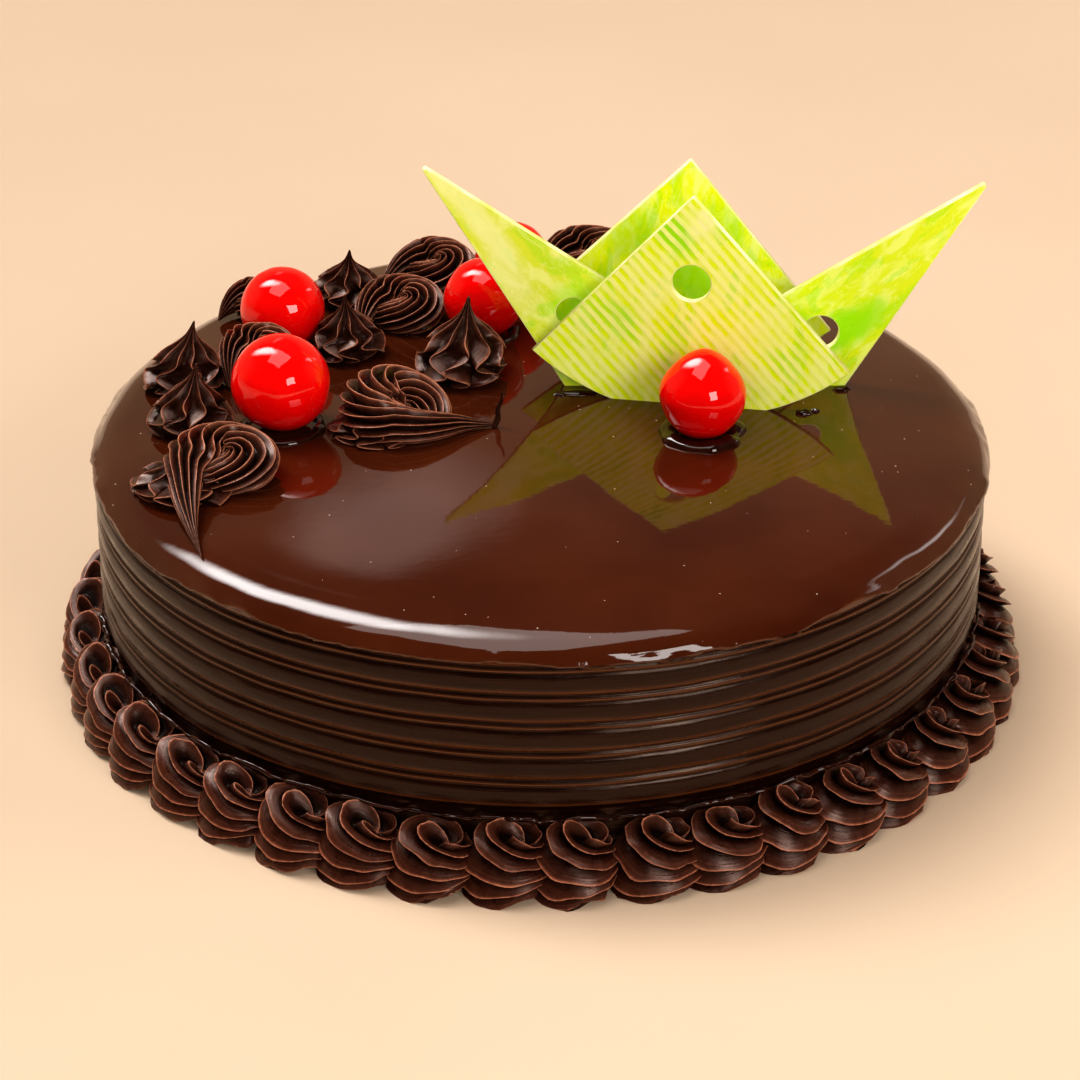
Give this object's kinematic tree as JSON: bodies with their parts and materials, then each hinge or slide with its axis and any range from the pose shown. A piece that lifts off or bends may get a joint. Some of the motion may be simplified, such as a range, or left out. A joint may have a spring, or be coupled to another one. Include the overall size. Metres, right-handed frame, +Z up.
{
  "type": "truffle cake",
  "caption": "Round glazed chocolate truffle cake with combed sides, a piped shell border, piped drops and rosettes, glazed cherries and green chocolate panels.",
  "frame": {"origin": "on the cake's axis, on the surface that it stands on", "axes": "+Z up; -Y is the front, where the cherry stands before the panels; +X to the right of that view"},
  "size_m": [0.2238, 0.2234, 0.1122],
  "materials": {
    "glaze": "mirror-gloss dark chocolate glaze",
    "piping": "satin piped chocolate ganache",
    "cherry": "wet glossy glazed cherry",
    "panel": "satin marbled green white chocolate"
  },
  "bodies": {
    "root": {"cake_body": "glaze", "shell_border": "piping", "star_drop_1": "piping", "star_drop_2": "piping", "star_drop_3": "piping", "star_drop_4": "piping", "star_drop_5": "piping", "rosette_1": "piping", "rosette_2": "piping", "rosette_3": "piping", "rosette_4": "piping", "rosette_5": "piping", "rosette_6": "piping", "rosette_7": "piping", "cherry_1": "cherry", "cherry_2": "cherry", "cherry_3": "cherry", "cherry_4": "cherry", "cherry_5": "cherry", "panel_front": "panel", "panel_back": "panel", "shard_left": "panel", "shard_right": "panel"}
  },
  "joints": []
}
